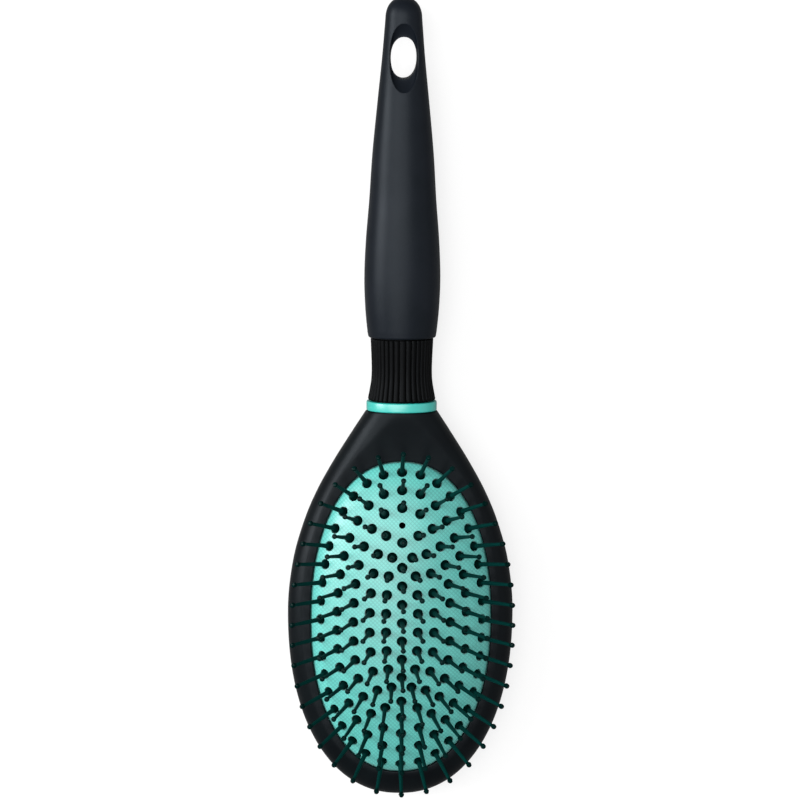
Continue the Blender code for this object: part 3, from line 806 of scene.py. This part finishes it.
def add_node(tree, kind, settings=None, **sockets):
    """Add a node; sockets are given by name or as n0, n1, with a value or with another node's output."""
    node = tree.nodes.new(kind)
    for name, value in (settings or {}).items():
        setattr(node, name, value)
    for name, value in sockets.items():
        numbered = name[0] == "n" and name[1:].isdigit()
        socket = node.inputs[int(name[1:]) if numbered else name]
        if isinstance(value, bpy.types.NodeSocket):
            tree.links.new(value, socket)
        else:
            socket.default_value = value
    return node


def math_node(tree, operation, a, b=0.0):
    return add_node(tree, "ShaderNodeMath", {"operation": operation}, n0=a, n1=b).outputs[0]


def new_group(name, inputs, outputs):
    """A shader group with number inputs, given with their defaults, and number outputs."""
    tree = bpy.data.node_groups.new(name, "ShaderNodeTree")
    for label, value in inputs:
        socket = tree.interface.new_socket(label, in_out="INPUT", socket_type="NodeSocketFloat")
        socket.default_value = value
    for label in outputs:
        tree.interface.new_socket(label, in_out="OUTPUT", socket_type="NodeSocketFloat")
    return tree, tree.nodes.new("NodeGroupInput"), tree.nodes.new("NodeGroupOutput")


# %% [markdown]
# Moulds for plastic and rubber are spark eroded or blasted, which leaves a fine grain on the part. The group
# gives the grain's height, and its size and evenness differ from finish to finish.

# %% Mould grain group
grain, grain_in, grain_out = new_group("mould_grain", [("Grain per metre", 2500.0)], ["Height"])
where = grain.nodes.new("ShaderNodeTexCoord").outputs["Object"]
coarse = add_node(grain, "ShaderNodeTexNoise", Vector=where, Scale=grain_in.outputs["Grain per metre"],
                  Detail=2.0, Roughness=0.6)
pits = add_node(grain, "ShaderNodeTexVoronoi", {"feature": "SMOOTH_F1"}, Vector=where,
                Scale=grain_in.outputs["Grain per metre"])
mixed = math_node(grain, "ADD", coarse.outputs["Fac"], pits.outputs["Distance"])
grain.links.new(mixed, grain_out.inputs["Height"])

# %% [markdown]
# Hands leave a brush a little uneven: some areas are rubbed smoother than others. The group spreads a
# roughness around its middle value, in soft patches and in fine specks.

# %% Handling group
handling, handling_in, handling_out = new_group(
    "handling", [("Roughness", 0.4), ("Unevenness", 0.1), ("Patches per metre", 60.0)], ["Roughness"])
where = handling.nodes.new("ShaderNodeTexCoord").outputs["Object"]
patches = add_node(handling, "ShaderNodeTexNoise", Vector=where, Detail=4.0,
                   Scale=handling_in.outputs["Patches per metre"])
centred = math_node(handling, "SUBTRACT", patches.outputs["Fac"], 0.5)
spread = math_node(handling, "MULTIPLY", centred, handling_in.outputs["Unevenness"])
total = math_node(handling, "ADD", handling_in.outputs["Roughness"], spread)
handling.links.new(total, handling_out.inputs["Roughness"])
print("groups", grain.name, "and", handling.name)

# %% [markdown]
# Most finishes are a colour with a slightly different tone in places, the uneven roughness and the grain.
# One helper sets that up, and each piece gets its own values.

# %% Finish helper
TONE_PATCHES_PER_METRE = 90.0
TONE_START = 0.35
TONE_END = 0.65
GRAIN_STRENGTH = 0.6


def new_material(name):
    material = bpy.data.materials.new(name)
    material.use_nodes = True
    return material, material.node_tree, material.node_tree.nodes["Principled BSDF"]


def use_group(tree, group, **sockets):
    node = tree.nodes.new("ShaderNodeGroup")
    node.node_tree = group
    for name, value in sockets.items():
        node.inputs[name.replace("_", " ")].default_value = value
    return node


def colour_ramp(tree, share, *stops):
    """A ramp between two colours, each given with its place on the ramp."""
    ramp = add_node(tree, "ShaderNodeValToRGB", Fac=share)
    for element, (position, colour) in zip(ramp.color_ramp.elements, stops):
        element.position = position
        element.color = (*colour, 1.0)
    return ramp.outputs["Color"]


def tone(tree, colour, other):
    """A colour that drifts softly to another one."""
    where = tree.nodes.new("ShaderNodeTexCoord").outputs["Object"]
    noise = add_node(tree, "ShaderNodeTexNoise", Vector=where, Scale=TONE_PATCHES_PER_METRE, Detail=3.0)
    return colour_ramp(tree, noise.outputs["Fac"], (TONE_START, colour), (TONE_END, other))


def moulded(name, colours, roughness, unevenness, grain_per_metre, grain_depth, specular=0.5, coat=0.0,
            coat_roughness=0.1, sheen_tint=(1.0, 1.0, 1.0)):
    """A finish of two tones with uneven roughness and a grain, whose depth is in millimetres."""
    material, tree, shader = new_material(name)
    tree.links.new(tone(tree, *colours), shader.inputs["Base Color"])
    touch = use_group(tree, handling, Roughness=roughness, Unevenness=unevenness)
    tree.links.new(touch.outputs["Roughness"], shader.inputs["Roughness"])
    bumps = use_group(tree, grain, Grain_per_metre=grain_per_metre)
    bump = add_node(tree, "ShaderNodeBump", Height=bumps.outputs["Height"], Strength=GRAIN_STRENGTH,
                    Distance=grain_depth * MM)
    tree.links.new(bump.outputs["Normal"], shader.inputs["Normal"])
    shader.inputs["Specular IOR Level"].default_value = specular
    shader.inputs["Specular Tint"].default_value = (*sheen_tint, 1.0)
    shader.inputs["Coat Weight"].default_value = coat
    shader.inputs["Coat Roughness"].default_value = coat_roughness
    return material


def paint(piece, material):
    piece.data.materials.clear()
    piece.data.materials.append(material)
    print(piece.name, "is finished with", material.name)


# %% [markdown]
# The head is satin black plastic, the sleeve and the grip are black rubber, and the core is a grey moulding.
# The ring is bright plastic with a clear coat. The pins are a very dark green, and only their balls have the
# clear coat's gloss. Their stems are painted a lighter green: painted light, for the pad's light on them.

# %% Moulded finishes
BLUISH = (0.84, 0.92, 1.0)
BALL_GLOSS = 0.12
GREENISH = (0.25, 1.0, 0.9)
# Painted light: the stems' lighter green stands in for the pad's light that they catch and reflect.
LIT_STEM_PAINT = (0.002, 0.038, 0.034, 1.0)
paint(head, moulded("head_black", [(0.001, 0.002, 0.003), (0.002, 0.004, 0.005)], roughness=0.38,
                    unevenness=0.12, grain_per_metre=3200.0, grain_depth=0.012, specular=0.16,
                    sheen_tint=BLUISH))
paint(sleeve, moulded("sleeve_black", [(0.001, 0.001, 0.001), (0.002, 0.002, 0.002)], roughness=0.42,
                      unevenness=0.15, grain_per_metre=2600.0, grain_depth=0.02, specular=0.07,
                      sheen_tint=BLUISH))
paint(grip, moulded("grip_black", [(0.003, 0.005, 0.008), (0.005, 0.007, 0.011)], roughness=0.4,
                    unevenness=0.12, grain_per_metre=2800.0, grain_depth=0.02, specular=0.2,
                    sheen_tint=BLUISH))
paint(accent_ring, moulded("ring_mint", [(0.02, 0.50, 0.43), (0.03, 0.54, 0.47)], roughness=0.3,
                           unevenness=0.06, grain_per_metre=1200.0, grain_depth=0.004, specular=0.8,
                           coat=1.0, coat_roughness=0.35))
paint(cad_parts["handle_core"],
      moulded("core_grey", [(0.09, 0.09, 0.10), (0.12, 0.12, 0.13)], roughness=0.5, unevenness=0.15,
              grain_per_metre=2000.0, grain_depth=0.02))

pin_finish = moulded("pin_black", [(0.0, 0.009, 0.008), (0.001, 0.015, 0.014)], roughness=0.4,
                     unevenness=0.06, grain_per_metre=1500.0, grain_depth=0.006, specular=0.005,
                     coat_roughness=0.06, sheen_tint=GREENISH)
tree = pin_finish.node_tree
shader = tree.nodes["Principled BSDF"]
polish = add_node(tree, "ShaderNodeAttribute", {"attribute_name": BALL_LAYER})
gloss = math_node(tree, "MULTIPLY", polish.outputs["Fac"], BALL_GLOSS)
tree.links.new(gloss, shader.inputs["Coat Weight"])
# Painted light: where the stem number is 1, the lighter green is mixed in for the pad's light on the stems.
lit_stem_mask = add_node(tree, "ShaderNodeAttribute", {"attribute_name": LIT_STEM_LAYER})
dark = shader.inputs["Base Color"].links[0].from_socket
mixed = add_node(tree, "ShaderNodeMixRGB", Fac=lit_stem_mask.outputs["Fac"], Color1=dark, Color2=LIT_STEM_PAINT)
tree.links.new(mixed.outputs["Color"], shader.inputs["Base Color"])
for pins in pin_pieces:
    paint(pins, pin_finish)

# %% [markdown]
# The pad's rubber has a fine weave moulded in, like cloth: two sets of thin lines that cross at a right
# angle and run diagonally over the brush, a little under a millimetre apart. The grooves between them are
# painted a darker mint than the crests, which is painted shade in the grooves. Like cloth it has a pale
# sheen where it is seen at a low angle.

# %% Woven rubber
WEAVE_PITCH = 0.88 * MM
WEAVE_DEPTH = 0.05 * MM
SOFTENING = 0.1
# Painted shade: the weave's grooves get a darker mint than its crests.
SHADED_GROOVE_STOP = (0.05, (0.08, 0.48, 0.43))
CREST_STOP = (0.7, (0.14, 0.66, 0.59))
cushion_finish, tree, shader = new_material("cushion_mint")
where = tree.nodes.new("ShaderNodeTexCoord").outputs["Object"]
parts = add_node(tree, "ShaderNodeSeparateXYZ", Vector=where)
threads = []
for operation in ("ADD", "SUBTRACT"):
    diagonal = math_node(tree, operation, parts.outputs["X"], parts.outputs["Y"])
    phase = math_node(tree, "MULTIPLY", diagonal, math.pi / (WEAVE_PITCH * math.sqrt(2)))
    threads.append(math_node(tree, "ABSOLUTE", math_node(tree, "SINE", phase)))
softer = math_node(tree, "ADD", math_node(tree, "MULTIPLY", threads[1], 1 - SOFTENING), SOFTENING)
weave = math_node(tree, "MINIMUM", threads[0], softer)
tree.links.new(colour_ramp(tree, weave, SHADED_GROOVE_STOP, CREST_STOP), shader.inputs["Base Color"])
touch = use_group(tree, handling, Roughness=0.37, Unevenness=0.08)
tree.links.new(touch.outputs["Roughness"], shader.inputs["Roughness"])
shader.inputs["Specular IOR Level"].default_value = 1.0
shader.inputs["Sheen Weight"].default_value = 0.4
shader.inputs["Sheen Roughness"].default_value = 0.35
bump = add_node(tree, "ShaderNodeBump", Height=weave, Strength=0.5, Distance=WEAVE_DEPTH)
tree.links.new(bump.outputs["Normal"], shader.inputs["Normal"])
paint(cushion, cushion_finish)

# %% [markdown]
# ## Stage
# A large pale floor lies just under the brush. A part of its brightness is there only for the camera, so
# that it looks white and keeps the brush's shadow. In reflections it stays grey, or every black edge would
# get a light line.

# %% Floor
FLOOR_HALF_SIZE = 4.0
FLOOR_DROP = 0.0001
FLOOR_TONE = 0.3
FLOOR_GLOW = 0.75

bm = bmesh.new()
bmesh.ops.create_grid(bm, x_segments=1, y_segments=1, size=FLOOR_HALF_SIZE)
bmesh.ops.translate(bm, vec=(0.0, 0.0, -FLOOR_DROP), verts=bm.verts[:])
floor_mesh = bpy.data.meshes.new("Floor")
bm.to_mesh(floor_mesh)
bm.free()
floor = bpy.data.objects.new("Floor", floor_mesh)
bpy.context.scene.collection.objects.link(floor)

floor_finish, tree, shader = new_material("floor_white")
shader.inputs["Base Color"].default_value = (FLOOR_TONE, FLOOR_TONE, FLOOR_TONE, 1.0)
shader.inputs["Roughness"].default_value = 0.9
shader.inputs["Specular IOR Level"].default_value = 0.0
rays = tree.nodes.new("ShaderNodeLightPath").outputs
seen = math_node(tree, "MAXIMUM", rays["Is Camera Ray"], rays["Is Transmission Ray"])
shader.inputs["Emission Color"].default_value = (1.0, 1.0, 1.0, 1.0)
glow = math_node(tree, "MULTIPLY", seen, FLOOR_GLOW)
tree.links.new(glow, shader.inputs["Emission Strength"])
paint(floor, floor_finish)

# %% [markdown]
# A large soft lamp hangs overhead, and a smaller one stands at the left, as in the photograph, where the
# left of every round form is light and the right is deep. A weak lamp at the right and an even sky fill the
# shadows.

# %% Lamps
TARGET = Vector((-0.56, 65.85, 12.0)) * MM
SKY_STRENGTH = 0.3


def area_lamp(name, offset, size, power):
    """A square soft lamp at an offset from the brush's middle, aimed at it."""
    light = bpy.data.lights.new(name, "AREA")
    light.shape = "SQUARE"
    light.size = size
    light.energy = power
    lamp = bpy.data.objects.new(name, light)
    aim = offset.to_track_quat("Z", "Y").to_matrix().to_4x4()
    lamp.matrix_world = Matrix.Translation(TARGET + offset) @ aim
    bpy.context.scene.collection.objects.link(lamp)
    print(name, "lamp", power, "W")


area_lamp("Top", Vector((-0.3, 0.15, 1.43)), size=1.1, power=14.0)
area_lamp("Left", Vector((-1.27, 0.3, 0.75)), size=0.9, power=18.0)
area_lamp("Right", Vector((1.1, 0.1, 1.0)), size=1.6, power=2.8)
world = bpy.data.worlds.new("Sky")
world.use_nodes = True
sky = world.node_tree.nodes["Background"]
sky.inputs["Color"].default_value = (1.0, 1.0, 1.0, 1.0)
sky.inputs["Strength"].default_value = SKY_STRENGTH
bpy.context.scene.world = world

# %% [markdown]
# The camera looks down on the brush from 1.3 m, tilted a little towards the handle's end, through a long
# lens. Its turn and tilt are the photograph's.

# %% Camera
CAMERA_DISTANCE = 1.3
FOCAL_LENGTH = 194.2
SENSOR_WIDTH = 36.0
FARTHEST = 20.0
TILT = math.radians(7.5)
YAW = math.radians(-1.85)
ROLL = math.radians(0.33)

lens = bpy.data.cameras.new("Camera")
lens.lens = FOCAL_LENGTH
lens.sensor_width = SENSOR_WIDTH
lens.clip_end = FARTHEST
camera = bpy.data.objects.new("Camera", lens)
bpy.context.scene.collection.objects.link(camera)
bpy.context.scene.camera = camera
about_y = Matrix(((math.cos(YAW), 0, -math.sin(YAW)), (0, 1, 0), (math.sin(YAW), 0, math.cos(YAW))))
about_x = Matrix(((1, 0, 0), (0, math.cos(TILT), -math.sin(TILT)), (0, math.sin(TILT), math.cos(TILT))))
about_z = Matrix(((math.cos(ROLL), math.sin(ROLL), 0), (-math.sin(ROLL), math.cos(ROLL), 0), (0, 0, 1)))
turned = (about_z @ about_x @ about_y).transposed().to_4x4()
back = Matrix.Translation((0, 0, CAMERA_DISTANCE))
camera.matrix_world = Matrix.Translation(TARGET) @ turned @ back
bpy.context.scene.view_settings.view_transform = "Standard"
print("camera at", [round(v, 3) for v in camera.matrix_world.translation])
